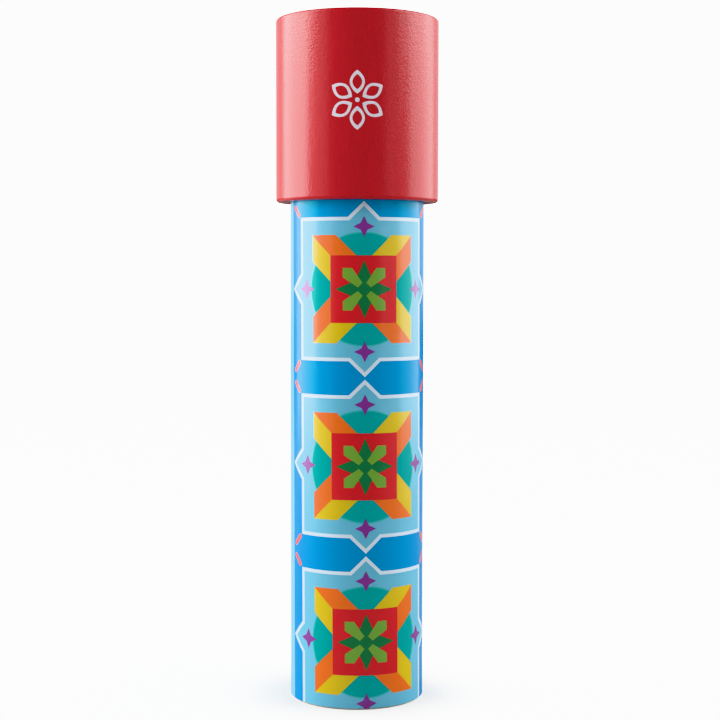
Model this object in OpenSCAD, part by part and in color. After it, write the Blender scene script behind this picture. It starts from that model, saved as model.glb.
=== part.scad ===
// Kaleidoscope: a paper-wrapped cardboard tube with a mirror prism inside, an eyepiece plug at its
// foot and a turned wooden cap at its head that spins a cell of loose charms.
// Frame: millimetres, +Z up along the tube's axis, origin at the centre of the face it stands on.

/* [Overall] */
// Length of the whole kaleidoscope
total_length = 225; // [190:1:260]

/* [Tube] */
// Outside diameter of the cardboard tube
tube_d = 44; // [42:1:46]
// Wall thickness of the cardboard tube
tube_wall = 2; // [1.5:0.25:2.5]
// Thickness of the printed paper wrap
wrap_t = 0.25; // [0.15:0.05:0.3]
// Height of the strip of bare plug rim that shows below the wrap
wrap_foot = 0.5; // [0.3:0.1:0.8]

/* [Cap] */
// Outside diameter of the turning cap
cap_d = 54; // [53:1:60]
// Length of the turning cap
cap_length = 60; // [50:1:75]
// Radius on the cap's lower outside edge
cap_foot_round = 1.1; // [0.4:0.1:1.5]
// Radius on the cap's upper outside edge
cap_top_round = 0.8; // [0.4:0.1:1.2]
// Radial clearance between the cap's lip and the wrap
cap_clearance = 0.4; // [0.3:0.05:0.6]

/* [Charm cell] */
// Free height inside the cell, where the charms tumble
cell_depth = 7.2; // [6:0.2:9]
// Wall and floor thickness of the clear cup
cup_wall = 1.2; // [1:0.1:1.5]
// Thickness of the frosted diffuser
diffuser_t = 1.6; // [1:0.1:2]

/* [Eyepiece] */
// Diameter of the peep hole
peep_d = 12; // [10:0.5:14]
// Diameter of the dished eye cup where it meets the foot
eye_cup_d = 25; // [20:1:30]
// Depth of the plug inside and below the tube
plug_height = 10; // [9.5:0.5:14]

/* [Mirrors] */
// Thickness of each mirror strip
mirror_t = 1.6; // [1:0.1:2]
// Thickness of the black card behind each mirror
card_t = 0.4; // [0.3:0.1:0.6]

/* [Hidden] */

$fn = 96;
glue_gap = 0.05;       // room for glue where one round piece sits inside another
wrap_gap = 0.02;       // paste under the paper wrap
run_gap = 0.35;        // air between curved faces that turn past each other
cut = 1;               // how far a cutting shape runs past the face that it cuts
arc_steps = 6;         // straight steps in a quarter-round edge

// Tube and wrap
tube_r = tube_d / 2;
bore_r = tube_r - tube_wall;
wrap_r = tube_r + wrap_t;
plug_rim_h = 1.2;
tube_foot_z = plug_rim_h;

// Cap, stacked down from its top edge
cap_r = cap_d / 2;
cap_foot_z = total_length - cap_length;
bezel_recess = 0.6;
bezel_h = 3;
gasket_t = 0.4;
bezel_top_z = total_length - bezel_recess;
gasket_z = bezel_top_z - bezel_h - gasket_t;
diffuser_z = gasket_z - diffuser_t;
cup_z = diffuser_z - cell_depth - cup_wall;
cup_play = 0.4;        // the cell turns this far above the collar
flange_top_z = cup_z - cup_play;
flange_t = 2.4;
tube_top_z = flange_top_z - flange_t;
felt_t = 1;
felt_play = 0.2;
ledge_z = tube_top_z - felt_play - felt_t;
lip_r = wrap_r + cap_clearance;
flange_bore_r = lip_r + 1.35;
cell_bore_r = flange_bore_r + 0.8;
bezel_hole_r = cell_bore_r - 4.8;
lip_chamfer = 0.6;

// Cell and charms
cup_r = cell_bore_r - glue_gap * 2;
cup_bore_r = cup_r - cup_wall;
charm_z = cup_z + cup_wall + glue_gap;

// Eyepiece
peep_r = peep_d / 2;
cup_dish_h = 2.6;
lens_seat_z = 5;
lens_r = peep_r + 2.9;
lens_rim_t = 1.2;
lens_dome_r = peep_r + 1;
lens_dome_h = 1;
lens_ring_t = 1.6;
plug_edge = 0.4;

// Mirror prism: three strips whose inner long edges meet, held inside a circle of prism_r
prism_r = bore_r - 1.6;
prism_back = mirror_t + card_t;
mirror_w = 1.5 * (sqrt(prism_back * prism_back / 3 + 4 / 3 * (prism_r * prism_r - prism_back * prism_back))
    - prism_back / sqrt(3));
prism_in_r = mirror_w / (2 * sqrt(3));
mirror_gap = 0.05;
holder_mask_t = 2;
holder_h = 6;
mirror_foot_z = plug_height + holder_mask_t;
collar_depth = 10;
collar_mask_t = 2;
window_t = 1.6;
window_r = 18.4;
window_hole_r = 16.5;
mirror_top_z = tube_top_z - collar_mask_t - 0.2;
pocket_gap = 0.2;
aperture_side = mirror_w - 1.6;

// Tape bands and foam pads along the prism
tape_h = 7;
tape_t = 0.25;
foam_h = 20;
foam_w = 24;
foam_gap = 0.1;
span_z = mirror_top_z - mirror_foot_z;
tape_z = [for (share = [0.06, 0.48, 0.9]) mirror_foot_z + share * span_z];
lower_foam_z = mirror_foot_z + 0.14 * span_z;
upper_foam_z = mirror_foot_z + 0.72 * span_z;

// Points of an arc from angle a0 to a1 about a centre
function arc(centre, r, a0, a1, steps = arc_steps) =
    [for (i = [0:steps]) let (a = a0 + (a1 - a0) * i / steps) [centre[0] + r * cos(a), centre[1] + r * sin(a)]];

// A point turned about the origin
function turned(p, a) = [p[0] * cos(a) - p[1] * sin(a), p[0] * sin(a) + p[1] * cos(a)];

// Six-cornered outline round the mirror prism, grown by gap
function prism_outline(gap) =
    [for (side = [0:2], hand = [-1, 1])
        turned([hand * (mirror_w / 2 + gap * 0.6), -(prism_in_r + prism_back + gap)], side * 120)];

module ring(r_out, r_in, z, h) {
    translate([0, 0, z])
        difference() {
            cylinder(r = r_out, h = h);
            translate([0, 0, -cut]) cylinder(r = r_in, h = h + 2 * cut);
        }
}

module disc(r, z, h) {
    translate([0, 0, z]) cylinder(r = r, h = h);
}

// Equal triangle of a given side, one side facing -Y as mirror_a does
module triangle(side) {
    circum = side / sqrt(3);
    polygon([for (a = [-150, -30, 90]) [circum * cos(a), circum * sin(a)]]);
}

// Places children at count places round the axis, wandering a little in radius and angle
module scatter(count, r, start, wander_r = 0, wander_a = 0) {
    for (i = [0:count - 1])
        rotate([0, 0, start + i * 360 / count + wander_a * sin(137 * i)])
            translate([r + wander_r * sin(71 * i + 40), 0, charm_z])
                rotate([0, 0, 53 * i])
                    children();
}

// ---- Eyepiece end ----

module eyepiece_plug() {
    dish_r = eye_cup_d / 2;
    dish_centre = (peep_r * peep_r - dish_r * dish_r + cup_dish_h * cup_dish_h) / (2 * cup_dish_h);
    dish_sphere_r = norm([dish_r, dish_centre]);
    color("burlywood")
        rotate_extrude()
            polygon(concat(
                [[tube_r - plug_edge, 0], [tube_r, plug_edge], [tube_r, plug_rim_h],
                 [bore_r - glue_gap, plug_rim_h], [bore_r - glue_gap, plug_height],
                 [lens_r + glue_gap, plug_height], [lens_r + glue_gap, lens_seat_z],
                 [peep_r, lens_seat_z]],
                arc([0, dish_centre], dish_sphere_r, acos(peep_r / dish_sphere_r), acos(dish_r / dish_sphere_r))));
}

module eye_lens() {
    dome_sphere_r = (lens_dome_r * lens_dome_r + lens_dome_h * lens_dome_h) / (2 * lens_dome_h);
    rim_z = lens_seat_z + lens_rim_t;
    centre = [0, rim_z + lens_dome_h - dome_sphere_r];
    edge_angle = acos(lens_dome_r / dome_sphere_r);
    color("aliceblue", 0.4)
        rotate_extrude()
            polygon(concat(
                [[0, lens_seat_z], [lens_r, lens_seat_z], [lens_r, rim_z]],
                arc(centre, dome_sphere_r, edge_angle, 90)));
}

module lens_retaining_ring() {
    color("black")
        ring(lens_r, lens_dome_r + 0.1, lens_seat_z + lens_rim_t, lens_ring_t);
}

// ---- Tube ----

module body_tube() {
    color("tan")
        ring(tube_r, bore_r, tube_foot_z, tube_top_z - tube_foot_z);
}

module printed_wrap() {
    color("deepskyblue")
        ring(wrap_r, tube_r + wrap_gap, wrap_foot, cap_foot_z - wrap_foot);
}

// ---- Mirror prism ----

module mirror_holder() {
    color("dimgray")
        difference() {
            disc(bore_r - glue_gap, plug_height, holder_h);
            translate([0, 0, plug_height - cut])
                linear_extrude(holder_h + 2 * cut) triangle(aperture_side);
            translate([0, 0, mirror_foot_z])
                linear_extrude(holder_h) polygon(prism_outline(pocket_gap));
        }
}

module mirror(turn) {
    color("silver")
        rotate([0, 0, turn])
            translate([-mirror_w / 2 + mirror_gap, -prism_in_r - mirror_t, mirror_foot_z])
                cube([mirror_w - 2 * mirror_gap, mirror_t, span_z]);
}

module backing_card(turn) {
    card_w = mirror_w - 2;
    color("black")
        rotate([0, 0, turn])
            translate([-card_w / 2, -prism_in_r - prism_back, mirror_foot_z])
                cube([card_w, card_t, span_z]);
}

module mirror_tape_bands() {
    color("goldenrod")
        for (z = tape_z)
            translate([0, 0, z])
                linear_extrude(tape_h)
                    difference() {
                        polygon(prism_outline(glue_gap + tape_t));
                        polygon(prism_outline(glue_gap));
                    }
}

module foam_pads(z) {
    back = prism_in_r + prism_back + foam_gap;
    color("darkgray")
        for (side = [0:2])
            rotate([0, 0, side * 120])
                intersection() {
                    disc(bore_r - foam_gap, z, foam_h);
                    translate([-foam_w / 2, -bore_r, z]) cube([foam_w, bore_r - back, foam_h]);
                }
}

// ---- Bearing at the tube's head ----

module bearing_collar() {
    color("dimgray")
        difference() {
            union() {
                disc(bore_r - glue_gap, tube_top_z - collar_depth, collar_depth + flange_t);
                disc(flange_bore_r - run_gap, tube_top_z, flange_t);
            }
            translate([0, 0, tube_top_z - collar_depth - cut])
                linear_extrude(collar_depth - collar_mask_t + cut) polygon(prism_outline(pocket_gap));
            translate([0, 0, tube_top_z - collar_mask_t - cut])
                linear_extrude(collar_mask_t + 2 * cut) triangle(aperture_side);
            disc(window_hole_r, tube_top_z, flange_t);
            disc(window_r + glue_gap, flange_top_z - window_t, window_t + cut);
        }
}

module collar_window() {
    color("aliceblue", 0.4)
        disc(window_r, flange_top_z - window_t, window_t);
}

// ---- Turning cap ----

module cap_sleeve() {
    foot = cap_foot_z;
    top = total_length;
    color("crimson")
        rotate_extrude()
            polygon(concat(
                arc([cap_r - cap_foot_round, foot + cap_foot_round], cap_foot_round, -90, 0),
                arc([cap_r - cap_top_round, top - cap_top_round], cap_top_round, 0, 90),
                [[cell_bore_r, top], [cell_bore_r, cup_z], [flange_bore_r, cup_z], [flange_bore_r, ledge_z],
                 [lip_r, ledge_z], [lip_r, foot + lip_chamfer], [lip_r + lip_chamfer, foot]]));
}

module felt_washer() {
    color("firebrick")
        ring(flange_bore_r - glue_gap, lip_r + glue_gap, ledge_z, felt_t);
}

module cell_cup() {
    color("aliceblue", 0.4)
        difference() {
            disc(cup_r, cup_z, cell_depth + cup_wall);
            disc(cup_bore_r, cup_z + cup_wall, cell_depth + cut);
        }
}

module cell_diffuser() {
    color("white", 0.8)
        disc(cup_r, diffuser_z, diffuser_t);
}

module bezel_gasket() {
    color("white")
        ring(cup_r, bezel_hole_r + 0.4, gasket_z, gasket_t);
}

module cap_bezel() {
    flare = 1.5;
    color("crimson")
        rotate_extrude()
            polygon([[bezel_hole_r, gasket_z + gasket_t], [cell_bore_r - glue_gap, gasket_z + gasket_t],
                     [cell_bore_r - glue_gap, bezel_top_z], [bezel_hole_r + flare, bezel_top_z],
                     [bezel_hole_r, bezel_top_z - flare]]);
}

// ---- Loose charms, in three rings that can swirl past each other ----

module star_charm() {
    points = 5;
    color("gold", 0.7)
        translate([0, 0, charm_z])
            linear_extrude(1.4)
                polygon([for (i = [0:2 * points - 1])
                    let (r = i % 2 == 0 ? 3.4 : 1.6, a = i * 180 / points) [r * cos(a), r * sin(a)]]);
}

module seed_beads() {
    color("hotpink", 0.7)
        scatter(5, 5.4, 20)
            difference() {
                cylinder(r = 1.4, h = 1.8, $fn = 32);
                translate([0, 0, -cut]) cylinder(r = 0.5, h = 1.8 + 2 * cut, $fn = 24);
            }
}

module gem_beads() {
    girdle_r = 2.5;
    color("mediumseagreen", 0.7)
        scatter(4, 11, 10, 0.5, 4)
            rotate_extrude($fn = 8)
                polygon([[0, 0], [1.1, 0], [girdle_r, 1.6], [girdle_r, 2], [1.5, 3], [0, 3]]);
}

module bugle_beads() {
    color("dodgerblue", 0.7)
        scatter(4, 11, 55, 0.5, 4)
            rotate([0, 90, 35])
                translate([-1.15, 0, -2.9])
                    difference() {
                        cylinder(r = 1.1, h = 5.8, $fn = 32);
                        translate([0, 0, -cut]) cylinder(r = 0.45, h = 5.8 + 2 * cut, $fn = 24);
                    }
}

module ring_charms() {
    color("orange", 0.7)
        scatter(5, 18.9, 0, 0.8, 2)
            difference() {
                cylinder(r = 2.9, h = 1.2, $fn = 48);
                translate([0, 0, -cut]) cylinder(r = 1.5, h = 1.2 + 2 * cut, $fn = 32);
            }
}

module triangle_charms() {
    color("red", 0.7)
        scatter(5, 18.9, 24, 0.8, 2)
            linear_extrude(1.5) triangle(5.4);
}

module round_beads() {
    bead_r = 2.2;
    color("mediumpurple", 0.7)
        scatter(5, 18.9, 48, 0.8, 2)
            translate([0, 0, bead_r])
                difference() {
                    sphere(r = bead_r, $fn = 48);
                    translate([0, 0, -bead_r - cut]) cylinder(r = 0.7, h = 2 * (bead_r + cut), $fn = 24);
                }
}

eyepiece_plug();
eye_lens();
lens_retaining_ring();
body_tube();
printed_wrap();
mirror_holder();
mirror(0);  // mirror_a
mirror(120);  // mirror_b
mirror(240);  // mirror_c
backing_card(0);  // backing_card_a
backing_card(120);  // backing_card_b
backing_card(240);  // backing_card_c
mirror_tape_bands();
foam_pads(lower_foam_z);  // lower_foam_pads
foam_pads(upper_foam_z);  // upper_foam_pads
bearing_collar();
collar_window();
cap_sleeve();
felt_washer();
cell_cup();
cell_diffuser();
bezel_gasket();
cap_bezel();
star_charm();
seed_beads();
gem_beads();
bugle_beads();
ring_charms();
triangle_charms();
round_beads();
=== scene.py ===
"""Looks for the kaleidoscope: a printed tube standing on its eyepiece end, under a red turning cap.

Every place and size comes from the CAD frame or from the named values below. Lengths are metres,
except on a print sheet, which is laid out flat in millimetres and then rolled onto its cylinder.
"""
import math

import bmesh
import bpy
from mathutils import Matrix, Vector, geometry


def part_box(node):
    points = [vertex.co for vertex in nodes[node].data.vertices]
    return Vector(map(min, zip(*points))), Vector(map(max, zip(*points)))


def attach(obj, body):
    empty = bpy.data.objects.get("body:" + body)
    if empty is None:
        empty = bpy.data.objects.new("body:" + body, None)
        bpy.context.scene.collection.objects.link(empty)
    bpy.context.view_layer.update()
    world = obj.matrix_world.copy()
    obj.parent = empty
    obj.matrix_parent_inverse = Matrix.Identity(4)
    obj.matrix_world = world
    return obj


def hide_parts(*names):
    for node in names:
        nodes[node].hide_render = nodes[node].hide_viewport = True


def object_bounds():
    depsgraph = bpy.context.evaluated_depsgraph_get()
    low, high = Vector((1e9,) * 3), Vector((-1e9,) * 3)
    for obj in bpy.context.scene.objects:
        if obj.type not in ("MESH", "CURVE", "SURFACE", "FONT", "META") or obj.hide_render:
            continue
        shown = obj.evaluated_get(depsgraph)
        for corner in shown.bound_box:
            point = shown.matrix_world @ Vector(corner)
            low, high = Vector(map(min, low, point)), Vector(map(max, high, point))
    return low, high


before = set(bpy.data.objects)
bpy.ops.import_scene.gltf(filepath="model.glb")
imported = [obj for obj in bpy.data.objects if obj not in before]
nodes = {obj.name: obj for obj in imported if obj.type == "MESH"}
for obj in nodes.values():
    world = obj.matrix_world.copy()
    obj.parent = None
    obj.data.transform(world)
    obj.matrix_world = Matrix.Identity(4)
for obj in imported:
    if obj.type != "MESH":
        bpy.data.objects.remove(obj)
cad_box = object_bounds()

MM = 0.001
TURN = 2 * math.pi
TINY = 1e-6
FIXED, CAP = "tube_assembly", "turning_cap"

# ---- Node helpers ----

PLAIN_WHITE = (1, 1, 1, 1)


def add_node(tree, kind, **settings):
    node = tree.nodes.new(kind)
    for key, value in settings.items():
        setattr(node, key, value)
    return node


def map_range(tree, value, start, end, low, high, way="LINEAR"):
    """Value, taken from start to end, mapped onto low to high."""
    node = add_node(tree, "ShaderNodeMapRange", interpolation_type=way)
    for socket, number in (("From Min", start), ("From Max", end), ("To Min", low), ("To Max", high)):
        node.inputs[socket].default_value = number
    tree.links.new(value, node.inputs["Value"])
    return node.outputs["Result"]


def product(tree, first, second):
    node = add_node(tree, "ShaderNodeMath", operation="MULTIPLY")
    tree.links.new(first, node.inputs[0])
    tree.links.new(second, node.inputs[1])
    return node.outputs["Value"]


# ---- Camera ----

# Where the camera stands, and how far it looks down, looks right and leans.
EYE = Vector((0, -0.5107, 0.1391))
EYE_DOWN = math.radians(2.968)
EYE_RIGHT = math.radians(0.11)
EYE_ROLL = math.radians(-0.08)
SENSOR_MM = 36
LENS_MM = 76.32
NEAREST = 0.01


def make_camera():
    data = bpy.data.cameras.new("camera")
    data.sensor_width = SENSOR_MM
    data.lens = LENS_MM
    data.clip_start = NEAREST
    camera = bpy.data.objects.new("camera", data)
    camera.location = EYE
    camera.rotation_euler = (math.pi / 2 - EYE_DOWN, EYE_ROLL, -EYE_RIGHT)
    bpy.context.scene.collection.objects.link(camera)
    bpy.context.scene.camera = camera


# ---- Stage and light ----

# How bright the room looks: plain white to the camera, the wall behind the object, the camera's side,
# and the share of that which is left overhead.
WHITE_OUT = 3.0
WALL_GLOW, FRONT_GLOW = 1.0, 0.12
OVERHEAD_SHARE = 0.25
# The wall brightens between these Y parts of a direction, and dims again between these Z parts.
WALL_FADE = (0.1, 0.7)
OVERHEAD_FADE = (0.15, 0.45)

FLOOR_HALF = 6.0
FLOOR_GREY = 0.42
FLOOR_ROUGH = 0.9
# How brightly the floor glows beside the base, below white: painted shade round the base.
FLOOR_SHADE_GLOW = 0.62
# Distances from the axis between which the floor's glow runs from its dim level by the base out into
# white: painted shade round the base.
FLOOR_SHADE_FADE = (0.022, 0.052)

# Azimuth, elevation, distance, the angles taken up across and upright, and radiance.
SOFT_BOXES = {
    "left_far_box": (-99, 8, 0.9, (51, 38), 7.0),
    "left_near_box": (-59, 12, 0.9, (34, 60), 1.1),
    "left_high_box": (-90, 34, 0.9, (60, 36), 4.2),
    "right_near_box": (60, 14, 0.9, (40, 60), 0.8),
    "right_far_box": (105, 9, 0.9, (54, 44), 3.2),
    "right_high_box": (90, 34, 0.9, (60, 36), 3.4),
    "front_box": (0, 14, 1.0, (100, 84), 0.38),
}


def area_light(name, azimuth, elevation, distance, spread, radiance):
    """A soft box that faces the object. Azimuth 0 is the camera's side and 90 is its right. Spread is
    the angle that it takes up across and upright, and radiance is how bright it looks. All angles are
    in degrees."""
    a, e = math.radians(azimuth), math.radians(elevation)
    data = bpy.data.lights.new(name, "AREA")
    data.shape = "RECTANGLE"
    data.size, data.size_y = (2 * distance * math.tan(math.radians(angle / 2)) for angle in spread)
    data.energy = radiance * math.pi * data.size * data.size_y
    light = bpy.data.objects.new(name, data)
    away = Vector((math.sin(a) * math.cos(e), -math.cos(a) * math.cos(e), math.sin(e)))
    light.location = (cad_box[0] + cad_box[1]) / 2 + away * distance
    light.rotation_euler = away.to_track_quat("Z", "Y").to_euler()
    bpy.context.scene.collection.objects.link(light)


def make_world():
    """A room with a pale wall behind the object, dim overhead and behind the camera. The camera itself
    sees plain white."""
    world = bpy.data.worlds.new("studio")
    bpy.context.scene.world = world
    world.use_nodes = True
    tree = world.node_tree
    tree.nodes.clear()
    coords = add_node(tree, "ShaderNodeTexCoord")
    split = add_node(tree, "ShaderNodeSeparateXYZ")
    tree.links.new(coords.outputs["Generated"], split.inputs["Vector"])
    wall = map_range(tree, split.outputs["Y"], *WALL_FADE, FRONT_GLOW, WALL_GLOW, "SMOOTHSTEP")
    height = map_range(tree, split.outputs["Z"], *OVERHEAD_FADE, 1, OVERHEAD_SHARE, "SMOOTHSTEP")
    room = add_node(tree, "ShaderNodeBackground")
    tree.links.new(product(tree, wall, height), room.inputs["Strength"])
    white = add_node(tree, "ShaderNodeBackground")
    white.inputs["Strength"].default_value = WHITE_OUT
    for background in (room, white):
        background.inputs["Color"].default_value = PLAIN_WHITE
    path = add_node(tree, "ShaderNodeLightPath")
    mix = add_node(tree, "ShaderNodeMixShader")
    tree.links.new(path.outputs["Is Camera Ray"], mix.inputs[0])
    tree.links.new(room.outputs["Background"], mix.inputs[1])
    tree.links.new(white.outputs["Background"], mix.inputs[2])
    out = add_node(tree, "ShaderNodeOutputWorld")
    tree.links.new(mix.outputs["Shader"], out.inputs["Surface"])


def make_floor():
    """A pale floor that takes a soft contact shadow from the lamps and runs out into white. Its glow is
    dimmed near the axis, which paints shade round the base.
    It glows only towards the camera, so its glow doesn't light the object from below."""
    h = FLOOR_HALF
    mesh = bpy.data.meshes.new("floor")
    mesh.from_pydata([(-h, -h, 0), (h, -h, 0), (h, h, 0), (-h, h, 0)], [], [(0, 1, 2, 3)])
    floor = bpy.data.objects.new("floor", mesh)
    bpy.context.scene.collection.objects.link(floor)
    material = bpy.data.materials.new("pale_floor")
    material.use_nodes = True
    tree = material.node_tree
    shader = tree.nodes["Principled BSDF"]
    shader.inputs["Base Color"].default_value = (FLOOR_GREY, FLOOR_GREY, FLOOR_GREY, 1)
    shader.inputs["Roughness"].default_value = FLOOR_ROUGH
    shader.inputs["Specular IOR Level"].default_value = 0
    shader.inputs["Emission Color"].default_value = PLAIN_WHITE
    coords = add_node(tree, "ShaderNodeTexCoord")
    distance = add_node(tree, "ShaderNodeVectorMath", operation="LENGTH")
    tree.links.new(coords.outputs["Object"], distance.inputs[0])
    # The glow is dimmest by the base: painted shade.
    glow = map_range(tree, distance.outputs["Value"], *FLOOR_SHADE_FADE, FLOOR_SHADE_GLOW, WHITE_OUT, "SMOOTHSTEP")
    path = add_node(tree, "ShaderNodeLightPath")
    seen = product(tree, path.outputs["Is Camera Ray"], glow)
    tree.links.new(seen, shader.inputs["Emission Strength"])
    mesh.materials.append(material)


bpy.context.scene.view_settings.view_transform = "Khronos PBR Neutral"
make_camera()
make_world()
make_floor()
for box_name, box_place in SOFT_BOXES.items():
    area_light(box_name, *box_place)

# ---- Material helpers ----

# Nearly all of a noise's values lie between these two.
NOISE_LOW, NOISE_HIGH = 0.3, 0.7


def srgb(*channels):
    """Linear colour of an sRGB colour given as 0 to 255."""
    shares = [c / 255 for c in channels]
    return tuple(s / 12.92 if s <= 0.04045 else ((s + 0.055) / 1.055) ** 2.4 for s in shares)


def times(colour, factor):
    return tuple(c * factor for c in colour)


class Look:
    """A Principled material with short calls for the textures that the looks below share."""

    def __init__(self, name, colour, roughness, **plain):
        self.material = bpy.data.materials.new(name)
        self.material.use_nodes = True
        self.tree = self.material.node_tree
        self.shader = self.tree.nodes["Principled BSDF"]
        self.shader.inputs["Base Color"].default_value = (*colour, 1)
        self.shader.inputs["Roughness"].default_value = roughness
        for socket, value in plain.items():
            self.shader.inputs[socket.replace("_", " ")].default_value = value
        self.relief = None

    def noise(self, grain, stretch=(1, 1, 1), detail=2, distortion=0.0):
        """Noise with grains about this many metres across, drawn out by stretch along X, Y and Z."""
        coords = add_node(self.tree, "ShaderNodeTexCoord")
        mapping = add_node(self.tree, "ShaderNodeMapping")
        mapping.inputs["Scale"].default_value = [1 / s for s in stretch]
        self.tree.links.new(coords.outputs["Object"], mapping.inputs["Vector"])
        noise = add_node(self.tree, "ShaderNodeTexNoise")
        for socket, number in (("Scale", 1 / grain), ("Detail", detail), ("Distortion", distortion)):
            noise.inputs[socket].default_value = number
        self.tree.links.new(mapping.outputs["Vector"], noise.inputs["Vector"])
        return noise.outputs["Fac"]

    def spread(self, noise, low, high):
        return map_range(self.tree, noise, NOISE_LOW, NOISE_HIGH, low, high)

    def tint(self, noise, dark, light):
        """Base colour that runs from dark to light with the noise."""
        node = add_node(self.tree, "ShaderNodeMix", data_type="RGBA")
        node.inputs["A"].default_value = (*dark, 1)
        node.inputs["B"].default_value = (*light, 1)
        self.tree.links.new(self.spread(noise, 0, 1), node.inputs["Factor"])
        self.tree.links.new(node.outputs["Result"], self.shader.inputs["Base Color"])

    def rough(self, noise, low, high):
        """Roughness that runs from low to high with the noise."""
        self.tree.links.new(self.spread(noise, low, high), self.shader.inputs["Roughness"])

    def bump(self, noise, height, strength):
        """Relief of this height in metres. Calls add up."""
        node = add_node(self.tree, "ShaderNodeBump")
        node.inputs["Distance"].default_value = height
        node.inputs["Strength"].default_value = strength
        self.tree.links.new(noise, node.inputs["Height"])
        if self.relief:
            self.tree.links.new(self.relief, node.inputs["Normal"])
        self.relief = node.outputs["Normal"]
        self.tree.links.new(self.relief, self.shader.inputs["Normal"])


# ---- Materials of the cap ----

CAP_RED = (0.5, 0.022, 0.029)
EMBLEM_WHITE = (0.72, 0.68, 0.76)
FIBRE_SHADE = 0.9


def satin_lacquer(name, colour, stained):
    """Lacquered wood: fine orange-peel grain over faint fibres that run along the axis. Where it is
    stained, the fibres show as shades of the colour too."""
    look = Look(name, colour, 0.22, Specular_IOR_Level=0.5)
    grain = look.noise(0.62 * MM, detail=0)
    fibres = look.noise(0.5 * MM, stretch=(1, 1, 14), detail=3)
    if stained:
        look.tint(fibres, times(colour, FIBRE_SHADE), colour)
    look.rough(grain, 0.2, 0.24)
    look.bump(fibres, 0.012 * MM, 0.5)
    look.bump(grain, 0.042 * MM, 1.0)
    return look.material


# ---- Materials of the tube ----

INKS = {
    "sky_blue": srgb(0, 119, 178),
    "pale_band": srgb(116, 186, 214),
    # Red ink of the crossing strokes, lightened to salmon: partly painted sheen from the side
    # highlights.
    "red_with_painted_sheen": srgb(218, 88, 84),
    "border_white": srgb(186, 201, 213),
    "light_blue": srgb(90, 162, 188),
    "turquoise_rim": srgb(62, 160, 160),
    "teal": srgb(2, 136, 134),
    "orange": srgb(202, 95, 26),
    "yellow": srgb(188, 163, 20),
    "red": srgb(184, 32, 38),
    "dark_green": srgb(4, 99, 52),
    "light_green": srgb(103, 146, 58),
    "purple": srgb(115, 52, 128),
}
# The inks are listed as they look under light that is a little dimmer than white.
INK_GAIN, INK_LIMIT = 1 / 0.83, 0.9
SHEEN_TINTS = {"sky_blue": (0.05, 0.9, 0.55, 1), "teal": (0.15, 0.9, 0.9, 1)}
DEEP_SHINE, PALE_SHINE = 0.42, 0.65


def printed_ink(ink):
    """Ink on gloss-laminated paper. A deep ink keeps its hue in its sheen."""
    gloss = {"Specular_IOR_Level": PALE_SHINE}
    if ink in SHEEN_TINTS:
        gloss = {"Specular_IOR_Level": DEEP_SHINE, "Specular_Tint": SHEEN_TINTS[ink]}
    colour = tuple(min(c * INK_GAIN, INK_LIMIT) for c in INKS[ink])
    look = Look("ink_" + ink, colour, 0.25, **gloss)
    look.rough(look.noise(0.6 * MM), 0.2, 0.26)
    look.bump(look.noise(2.5 * MM), 0.01 * MM, 0.5)
    look.bump(look.noise(0.4 * MM, detail=1), 0.003 * MM, 0.3)
    return look.material


def paper_edge():
    look = Look("paper_edge", srgb(225, 215, 195), 0.8)
    look.bump(look.noise(0.1 * MM), 0.01 * MM, 0.5)
    look.rough(look.noise(0.3 * MM), 0.7, 0.9)
    return look.material


def turned_wood():
    look = Look("turned_wood", srgb(205, 168, 120), 0.5)
    rings = look.noise(1.2 * MM, stretch=(1, 6, 6), detail=4, distortion=0.3)
    pores = look.noise(0.25 * MM, stretch=(1, 5, 5))
    look.tint(rings, srgb(176, 132, 84), srgb(219, 186, 140))
    look.rough(pores, 0.42, 0.62)
    look.bump(rings, 0.03 * MM, 0.5)
    look.bump(pores, 0.02 * MM, 0.4)
    return look.material


def kraft_board():
    look = Look("kraft_board", srgb(170, 135, 95), 0.85)
    fibres = look.noise(0.4 * MM, stretch=(1, 1, 3), detail=4)
    look.tint(fibres, srgb(150, 116, 78), srgb(184, 150, 110))
    look.rough(fibres, 0.75, 0.95)
    look.bump(fibres, 0.02 * MM, 0.5)
    return look.material


# ---- Materials inside ----


def clear_plastic():
    look = Look("clear_plastic", (0.95, 0.97, 0.98), 0.03, Transmission_Weight=1.0, IOR=1.49)
    look.bump(look.noise(3 * MM), 0.002 * MM, 0.3)
    return look.material


def frosted_plastic():
    look = Look("frosted_plastic", (0.95, 0.96, 0.96), 0.15, Transmission_Weight=0.8, IOR=1.49)
    look.rough(look.noise(1.5 * MM), 0.14, 0.18)
    look.bump(look.noise(4 * MM, detail=0), 0.004 * MM, 0.3)
    return look.material


def mirror_coat():
    look = Look("mirror_coat", (0.9, 0.91, 0.92), 0.03, Metallic=1.0)
    look.rough(look.noise(6 * MM), 0.02, 0.05)
    return look.material


def moulded_plastic():
    look = Look("black_plastic", (0.02, 0.02, 0.022), 0.5)
    texture = look.noise(0.2 * MM, detail=3)
    look.rough(texture, 0.42, 0.6)
    look.bump(texture, 0.015 * MM, 0.6)
    return look.material


def black_card():
    look = Look("black_card", (0.02, 0.02, 0.021), 0.85)
    fibres = look.noise(0.3 * MM, stretch=(1, 1, 2), detail=3)
    look.tint(fibres, (0.014, 0.014, 0.015), (0.03, 0.03, 0.03))
    look.bump(fibres, 0.02 * MM, 0.5)
    return look.material


def gummed_tape():
    look = Look("gummed_tape", srgb(190, 160, 110), 0.6)
    creases = look.noise(0.5 * MM, stretch=(3, 3, 1), detail=3)
    look.tint(creases, srgb(172, 140, 92), srgb(200, 172, 124))
    look.bump(creases, 0.03 * MM, 0.6)
    return look.material


def open_foam():
    look = Look("open_foam", (0.05, 0.05, 0.055), 0.95)
    cells = look.noise(0.7 * MM, detail=3)
    look.tint(cells, (0.02, 0.02, 0.022), (0.09, 0.09, 0.095))
    look.bump(cells, 0.3 * MM, 0.8)
    return look.material


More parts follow.
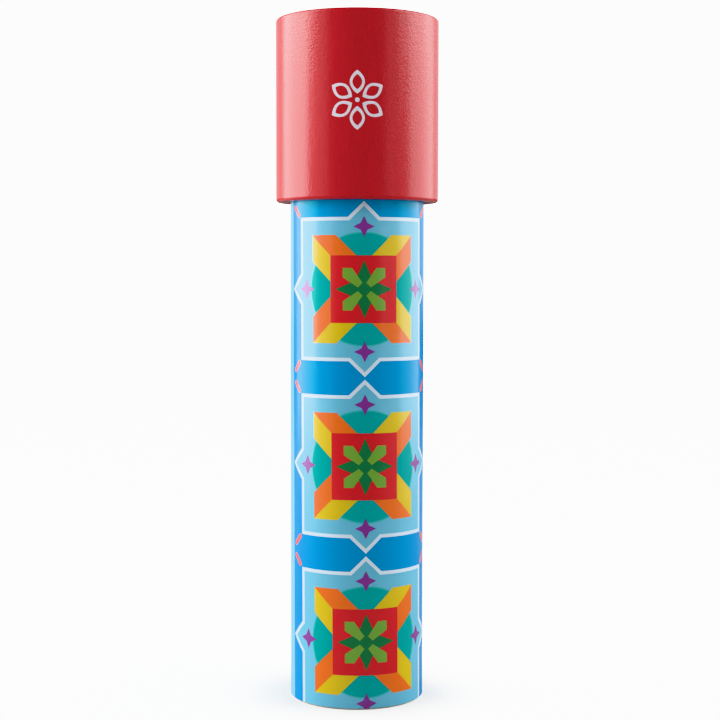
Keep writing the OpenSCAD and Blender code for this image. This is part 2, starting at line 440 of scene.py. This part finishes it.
def pressed_felt():
    look = Look("pressed_felt", srgb(150, 22, 34), 0.95, Sheen_Weight=0.5)
    fibres = look.noise(0.25 * MM, detail=4, distortion=0.8)
    look.tint(fibres, srgb(118, 14, 24), srgb(165, 30, 42))
    look.bump(fibres, 0.06 * MM, 0.8)
    return look.material


def gasket_card():
    look = Look("gasket_card", srgb(228, 226, 216), 0.85)
    fibres = look.noise(0.3 * MM, detail=3)
    look.tint(fibres, srgb(214, 212, 200), srgb(236, 234, 226))
    look.bump(fibres, 0.02 * MM, 0.5)
    return look.material


def tinted_charm(name, colour):
    """Translucent coloured plastic with faint moulding clouds."""
    look = Look(name, colour, 0.1, Transmission_Weight=0.5, IOR=1.5)
    clouds = look.noise(1.5 * MM)
    look.tint(clouds, times(colour, 0.8), colour)
    look.rough(clouds, 0.06, 0.16)
    return look.material


# ---- Mesh helpers ----

SHARP_ANGLE = math.radians(35)
# Below this slope a face counts as upright.
UPRIGHT = 0.01
# The cutting mode that gives faces that a mesh can hold, and how close two points are when they are one.
VALID_FACES = 4
SAME_PLACE_MM = 1e-4


def on_cylinder(angle, radius, z):
    """Point at an angle that runs from the camera's side round to its right."""
    return Vector((radius * math.sin(angle), -radius * math.cos(angle), z))


def arc(centre, radius, start, end, steps):
    """Profile points of an arc, as (radius, height) pairs; angles in degrees from straight outwards."""
    turns = [math.radians(start + (end - start) * i / steps) for i in range(steps + 1)]
    return [(centre[0] + radius * math.cos(t), centre[1] + radius * math.sin(t)) for t in turns]


def lathe(bm, profile, count, closed=True):
    """Spins a profile of (radius, height) pairs, listed anticlockwise, round the axis in count steps."""
    angles = [TURN * i / count for i in range(count)]
    rows = [[bm.verts.new(on_cylinder(a, radius, height)) for a in angles] for radius, height in profile]
    pairs = list(zip(rows, rows[1:]))
    if closed:
        pairs.append((rows[-1], rows[0]))
    for low, high in pairs:
        for i in range(count):
            j = (i + 1) % count
            bm.faces.new((low[i], low[j], high[j], high[i]))


def rectangle(left, right, low, high):
    return [(left, low), (right, low), (right, high), (left, high)]


def cut_sheet(layers, start, around, count):
    """Cuts a print sheet into faces of one ink each. The first layer is the sheet itself, and later ones
    lie over earlier ones. Upright cuts share its length out, so that it can bend. Returns points and
    (face, ink) pairs."""
    corners, outlines, edges = [], [], []
    for _, outline in layers:
        outlines.append(list(range(len(corners), len(corners) + len(outline))))
        corners.extend(outline)
    heights = [z for _, z in layers[0][1]]
    for i in range(1, count):
        x = start + around * i / count
        edges.append((len(corners), len(corners) + 1))
        corners.extend([(x, min(heights)), (x, max(heights))])
    flat = [Vector(corner) for corner in corners]
    points, _, faces, _, _, sources = geometry.delaunay_2d_cdt(
        flat, edges, outlines, VALID_FACES, SAME_PLACE_MM)
    inked = [(face, layers[max(over)][0]) for face, over in zip(faces, sources) if 0 in over]
    return points, inked


def roll_sheet(bm, points, faces, inks, radius_mm, radius_at, askew=0.0, level=0.0):
    """Rolls a cut sheet onto a cylinder. radius_at gives the radius in metres at a place along the
    sheet. A sheet put on askew creeps to the left by this much per unit of height above the level."""
    verts = {}
    for face, ink in faces:
        for i in face:
            if i not in verts:
                x, z = points[i]
                turn = (x - askew * (z - level)) / radius_mm
                verts[i] = bm.verts.new(on_cylinder(turn, radius_at(x), z * MM))
        bm.faces.new([verts[i] for i in face]).material_index = inks.index(ink)


def finish_mesh(bm, name, materials, body, replaced, wall=None):
    """Makes a piece of a bmesh. wall is the radius beyond which upright faces take the cylinder's own
    normals."""
    bmesh.ops.recalc_face_normals(bm, faces=bm.faces)
    mesh = bpy.data.meshes.new(name)
    bm.to_mesh(mesh)
    bm.free()
    for material in materials:
        mesh.materials.append(material)
    mesh.polygons.foreach_set("use_smooth", [True] * len(mesh.polygons))
    mesh.set_sharp_from_angle(angle=SHARP_ANGLE)
    if wall:
        normals = [Vector(n.vector) for n in mesh.corner_normals]
        for face in mesh.polygons:
            if Vector((face.center.x, face.center.y)).length > wall and abs(face.normal.z) < UPRIGHT:
                for i in face.loop_indices:
                    place = mesh.vertices[mesh.loops[i].vertex_index].co
                    normals[i] = Vector((place.x, place.y, 0)).normalized()
        mesh.normals_split_custom_set(normals)
    piece = bpy.data.objects.new(name, mesh)
    bpy.context.scene.collection.objects.link(piece)
    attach(piece, body)
    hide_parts(replaced)


# ---- Outlines, anticlockwise or made so where they are placed ----

CIRCLE_STEPS = 64
CAPSULE_STEPS = 8


def quarter_turns(points):
    """The points, then the same points a quarter turn on, and so on."""
    out = []
    for k in range(4):
        c, s = round(math.cos(k * math.pi / 2)), round(math.sin(k * math.pi / 2))
        out.append([(x * c - y * s, x * s + y * c) for x, y in points])
    return out


def four_sides(points):
    """One outline of the points and their three quarter turns."""
    return [p for quarter in quarter_turns(points) for p in quarter]


def star(tip, waist, x=0, y=0):
    return [(x + px, y + py) for px, py in four_sides([(tip, 0), (waist, waist)])]


def pointed_square(half, tip):
    """A square with a right-angled point in the middle of each side."""
    shoulder = tip - half
    return four_sides([(half, -shoulder), (tip, 0), (half, shoulder), (half, half)])


def circle(radius, count=CIRCLE_STEPS):
    turns = [TURN * i / count for i in range(count)]
    return [(radius * math.cos(t), radius * math.sin(t)) for t in turns]


def capsule(start, end, half):
    """A straight stroke with round ends."""
    way = math.atan2(end[1] - start[1], end[0] - start[0])
    points = []
    for centre, first in ((end, way - math.pi / 2), (start, way + math.pi / 2)):
        for i in range(CAPSULE_STEPS + 1):
            a = first + math.pi * i / CAPSULE_STEPS
            points.append((centre[0] + half * math.cos(a), centre[1] + half * math.sin(a)))
    return points


def anticlockwise(points):
    area = sum(x0 * y1 - x1 * y0 for (x0, y0), (x1, y1) in zip(points, points[1:] + points[:1]))
    return points if area > 0 else points[::-1]


# ---- Printed wrap ----

# Where the columns and rows of tiles lie. ACROSS stretches the print along the sheet.
TILE_TURN = math.radians(7.11)
COLUMN_TURN = math.radians(151.4)
COLUMNS = 2
ROWS = (-1, 0, 1)
ROW_PITCH = 57.12
MIDDLE_ROW = 79.3
ACROSS = 1.027
# How far the sheet, glued on slightly askew, creeps to the left per unit of height.
ASKEW = 0.007
# Steps in a whole turn of the sheet.
WRAP_CUTS = 132
# The sheet starts this much below its other end, which makes the seam's step, and takes this length
# to level out.
SEAM_STEP = 0.1
SEAM_EASE = 9.0
# The sheet goes on this much higher than the CAD solid, out of sight inside the cap.
WRAP_TUCK = 1.5

# One tile: half widths and distances from its centre.
SQUARE = 23.11
TIP = 28.2
BORDER = 1.15
STAR_PLACE, STAR_TIP, STAR_WAIST = 20.05, 3.4, 1.1
CIRCLE, CIRCLE_RIM = 17.95, 18.45
FRAME_OUT, FRAME_IN = 17.37, 10.83
NOTCH_OUT, NOTCH_IN = 8.95, 2.4
LEAF_TIP, LEAF_WAIST = 9.2, 2.78
PETAL = [(6.8, 6.8), (3.85, 6.8), (0.55, 2.05), (2.05, 0.55), (6.8, 3.85)]
# The strokes about the point where four tiles meet: their ends, how much they steepen, half a width.
STROKE_NEAR, STROKE_FAR, STROKE_RISE, STROKE_HALF = 2.0, 4.4, 0.2, 0.75


def tile():
    """One tile's outlines in paint order, about its centre."""
    out = [("border_white", pointed_square(SQUARE, TIP)),
           ("light_blue", pointed_square(SQUARE - BORDER, TIP - BORDER * math.sqrt(2))),
           ("turquoise_rim", circle(CIRCLE_RIM)),
           ("teal", circle(CIRCLE))]
    left = [(-NOTCH_IN, FRAME_IN), (-NOTCH_OUT, FRAME_OUT),
            (-FRAME_OUT, FRAME_OUT), (-FRAME_IN, FRAME_IN)]
    right = [(-x, y) for x, y in left[::-1]]
    out += [("orange", outline) for outline in quarter_turns(left)]
    out += [("yellow", outline) for outline in quarter_turns(right)]
    out.append(("red", four_sides([(FRAME_IN, -FRAME_IN)])))
    out.append(("dark_green", star(LEAF_TIP, LEAF_WAIST)))
    out += [("light_green", outline) for outline in quarter_turns(PETAL)]
    out += [("purple", star(STAR_TIP, STAR_WAIST, x, y)) for x, y in four_sides([(STAR_PLACE, 0)])]
    return out


def crossing_strokes():
    """The four short strokes about the point where four tiles meet."""
    ways = ((1, 1), (-1, 1), (1, -1), (-1, -1))
    near, far, rise = STROKE_NEAR, STROKE_FAR, STROKE_FAR + STROKE_RISE
    return [capsule((x * near, y * near), (x * far, y * rise), STROKE_HALF) for x, y in ways]


def placed(outline, x, z):
    """An outline moved to its place on the sheet."""
    return anticlockwise([(x + px * ACROSS, z + pz) for px, pz in outline])


def wrap_layers(radius_mm, low, high):
    """The whole printed sheet: two columns of tiles and a plain band that holds the glued seam. Returns
    its layers, where it starts and its length."""
    middle = TILE_TURN * radius_mm
    column = COLUMN_TURN * radius_mm
    around = TURN * radius_mm
    band = (around - COLUMNS * column) / 2
    start = middle + (COLUMNS - 0.5) * column - around + band
    ground_left, ground_right = start + band, start + around - band
    layers = [("pale_band", rectangle(start, start + around, low, high)),
              ("sky_blue", rectangle(ground_left, ground_right, low, high))]
    strokes = crossing_strokes()
    for i in range(COLUMNS + 1):
        for j in (ROWS[0] - 1, *ROWS):
            for stroke in strokes:
                outline = placed(stroke, middle + (i - 0.5) * column, MIDDLE_ROW + (j + 0.5) * ROW_PITCH)
                if all(ground_left <= x <= ground_right for x, _ in outline):
                    # The strokes' ink is red lightened by painted sheen.
                    layers.append(("red_with_painted_sheen", outline))
    outlines = tile()
    for i in range(COLUMNS):
        for j in ROWS:
            x, z = middle + i * column, MIDDLE_ROW + j * ROW_PITCH
            layers += [(ink, placed(outline, x, z)) for ink, outline in outlines]
    return layers, start, around


def make_wrap():
    """The printed sheet rolled onto the tube. Its two ends meet in the step of the seam, and its paper
    edges turn inwards to the tube, above and below."""
    low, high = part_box("printed_wrap")
    radius = high.x
    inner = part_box("body_tube")[1].x
    radius_mm = radius / MM
    layers, start, around = wrap_layers(radius_mm, low.z / MM, high.z / MM + WRAP_TUCK)
    points, faces = cut_sheet(layers, start, around, WRAP_CUTS)
    inks = list(INKS)

    def radius_at(x):
        t = min((x - start) / SEAM_EASE, 1)
        return radius - SEAM_STEP * MM * (1 - t * t * (3 - 2 * t))

    bm = bmesh.new()
    roll_sheet(bm, points, faces, inks, radius_mm, radius_at, ASKEW, MIDDLE_ROW)
    seam = [e for e in bm.edges if e.is_boundary and abs(e.verts[0].co.z - e.verts[1].co.z) > TINY]
    edge_faces = bmesh.ops.bridge_loops(bm, edges=seam)["faces"]
    rim = [e for e in bm.edges if e.is_boundary]
    grown = bmesh.ops.extrude_edge_only(bm, edges=rim)["geom"]
    for vert in (g for g in grown if isinstance(g, bmesh.types.BMVert)):
        flat = Vector((vert.co.x, vert.co.y))
        vert.co.x, vert.co.y = flat * (inner / flat.length)
    edge_faces += [g for g in grown if isinstance(g, bmesh.types.BMFace)]
    edge_faces += bmesh.ops.bridge_loops(bm, edges=[e for e in bm.edges if e.is_boundary])["faces"]
    for face in edge_faces:
        face.material_index = len(inks)
    materials = [printed_ink(ink) for ink in inks] + [paper_edge()]
    wall = (inner + radius) / 2
    finish_mesh(bm, "printed_tube_wrap", materials, FIXED, "printed_wrap", wall)


# ---- Cap sleeve with its emblem ----

# Steps in a whole turn of the cap and of its bezel.
CAP_CUTS = 144
CAP_FOOT_ROUND = 1.1 * MM
CAP_TOP_ROUND = 0.8 * MM
ROUND_STEPS = 8
LIP_CHAMFER = 0.6 * MM
# Room between the lip and the wrap, and round what is glued or set into a bore.
LIP_GAP = 0.4 * MM
GLUE_GAP = 0.05 * MM
# Points of the rolled sheet and of the turned rounds that are this close become one.
WELD = 0.002 * MM
# Faces less than this inside the outer radius belong to the outer wall.
SKIN = 0.1 * MM

# The emblem, in millimetres on its sheet.
EMBLEM_Z = 196.0
DOT_RADIUS, DOT_STEPS = 0.75, 20
PETALS = 6
PETAL_REACH = (1.9, 9.4)
PETAL_HALF = 2.4
PETAL_LINE = 0.85
PETAL_STEPS = 10
# How round a petal's sides are, and how many times wider its line is at the points than at the sides.
PETAL_ROUND = 0.8
PETAL_POINT = 1.6


def petal(inset=0.0):
    """A pointed petal along +X with rounded sides."""
    near, far = PETAL_REACH[0] + inset * PETAL_POINT, PETAL_REACH[1] - inset * PETAL_POINT
    half = PETAL_HALF - inset
    shares = [i / PETAL_STEPS for i in range(PETAL_STEPS + 1)]
    side = [(near + (far - near) * s, half * math.sin(math.pi * s) ** PETAL_ROUND) for s in shares]
    return [(x, -y) for x, y in side] + side[-2:0:-1]


def emblem():
    """A plain rosette of outlined petals about a dot."""
    out = [("emblem", circle(DOT_RADIUS, DOT_STEPS))]
    for k in range(PETALS):
        a = TURN * (k + 0.5) / PETALS
        c, s = math.cos(a), math.sin(a)
        for ink, outline in (("emblem", petal()), ("red", petal(PETAL_LINE))):
            out.append((ink, [(x * c - y * s, x * s + y * c) for x, y in outline]))
    return out


def make_cap_sleeve(red_lacquer):
    low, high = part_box("cap_sleeve")
    radius = min(high.x, high.y)
    radius_mm = radius / MM
    felt_low, felt_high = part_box("felt_washer")
    flange_bore = felt_high.x + GLUE_GAP
    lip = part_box("printed_wrap")[1].x + LIP_GAP
    cell_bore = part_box("cap_bezel")[1].x + GLUE_GAP
    cell_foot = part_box("cell_cup")[0].z
    foot_centre = (radius - CAP_FOOT_ROUND, low.z + CAP_FOOT_ROUND)
    foot_arc = arc(foot_centre, CAP_FOOT_ROUND, -90, 0, ROUND_STEPS)
    top_centre = (radius - CAP_TOP_ROUND, high.z - CAP_TOP_ROUND)
    top_arc = arc(top_centre, CAP_TOP_ROUND, 0, 90, ROUND_STEPS)
    inside = [(cell_bore, high.z), (cell_bore, cell_foot),
              (flange_bore, cell_foot), (flange_bore, felt_low.z),
              (lip, felt_low.z), (lip, low.z + LIP_CHAMFER), (lip + LIP_CHAMFER, low.z)]
    bm = bmesh.new()
    lathe(bm, top_arc + inside + foot_arc, CAP_CUTS, closed=False)
    around = TURN * radius_mm
    sheet_low, sheet_high = foot_arc[-1][1] / MM, top_arc[0][1] / MM
    layers = [("red", rectangle(-around / 2, around / 2, sheet_low, sheet_high))]
    for ink, outline in emblem():
        layers.append((ink, anticlockwise([(x, y + EMBLEM_Z) for x, y in outline])))
    points, faces = cut_sheet(layers, -around / 2, around, CAP_CUTS)
    roll_sheet(bm, points, faces, ["red", "emblem"], radius_mm, lambda x: radius)
    bmesh.ops.remove_doubles(bm, verts=bm.verts, dist=WELD)
    materials = [red_lacquer, satin_lacquer("emblem_print", EMBLEM_WHITE, stained=False)]
    finish_mesh(bm, "turning_sleeve", materials, CAP, "cap_sleeve", wall=radius - SKIN)


# ---- Bezel round the head's opening ----

BEZEL_WIDTH = 4.8 * MM
BEZEL_EDGE = 0.3 * MM
EDGE_STEPS = 5
# The flare of the opening: its size, its outer rim, and where its rounding bends, as shares of its size.
FLARE = 1.5 * MM
FLARE_RIM = 0.2 * MM
FLARE_BENDS = ((0.55, 0.2), (0.2, 0.55))


def make_cap_bezel(red_lacquer):
    low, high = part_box("cap_bezel")
    outer = high.x
    hole = outer + GLUE_GAP - BEZEL_WIDTH
    profile = [(hole, low.z), (outer, low.z)]
    profile += arc((outer - BEZEL_EDGE, high.z - BEZEL_EDGE), BEZEL_EDGE, 0, 90, EDGE_STEPS)
    profile.append((hole + FLARE + FLARE_RIM, high.z))
    profile += [(hole + FLARE * out, high.z - FLARE * down) for out, down in FLARE_BENDS]
    profile.append((hole, high.z - FLARE))
    bm = bmesh.new()
    lathe(bm, profile, CAP_CUTS)
    finish_mesh(bm, "head_bezel", [red_lacquer], CAP, "cap_bezel")


make_wrap()
cap_lacquer = satin_lacquer("cap_red", CAP_RED, stained=True)
make_cap_sleeve(cap_lacquer)
make_cap_bezel(cap_lacquer)

# ---- Looks of the CAD pieces that keep their shape ----

CHARMS = {
    "star_charm": (0.9, 0.65, 0.03),
    "seed_beads": (0.85, 0.1, 0.35),
    "gem_beads": (0.05, 0.5, 0.2),
    "bugle_beads": (0.03, 0.25, 0.75),
    "ring_charms": (0.9, 0.3, 0.03),
    "triangle_charms": (0.75, 0.03, 0.05),
    "round_beads": (0.35, 0.08, 0.6),
}


def dress(material, *names):
    for name in names:
        node = nodes[name]
        if not node.material_slots:
            node.data.materials.append(None)
        for place in node.material_slots:
            place.link = "OBJECT"
            place.material = material


dress(turned_wood(), "eyepiece_plug")
dress(clear_plastic(), "eye_lens", "collar_window", "cell_cup")
dress(moulded_plastic(), "lens_retaining_ring", "mirror_holder", "bearing_collar")
dress(kraft_board(), "body_tube")
dress(mirror_coat(), "mirror_a", "mirror_b", "mirror_c")
dress(black_card(), "backing_card_a", "backing_card_b", "backing_card_c")
dress(gummed_tape(), "mirror_tape_bands")
dress(open_foam(), "lower_foam_pads", "upper_foam_pads")
dress(pressed_felt(), "felt_washer")
dress(frosted_plastic(), "cell_diffuser")
dress(gasket_card(), "bezel_gasket")
for charm, charm_colour in CHARMS.items():
    dress(tinted_charm(charm + "_plastic", charm_colour), charm)
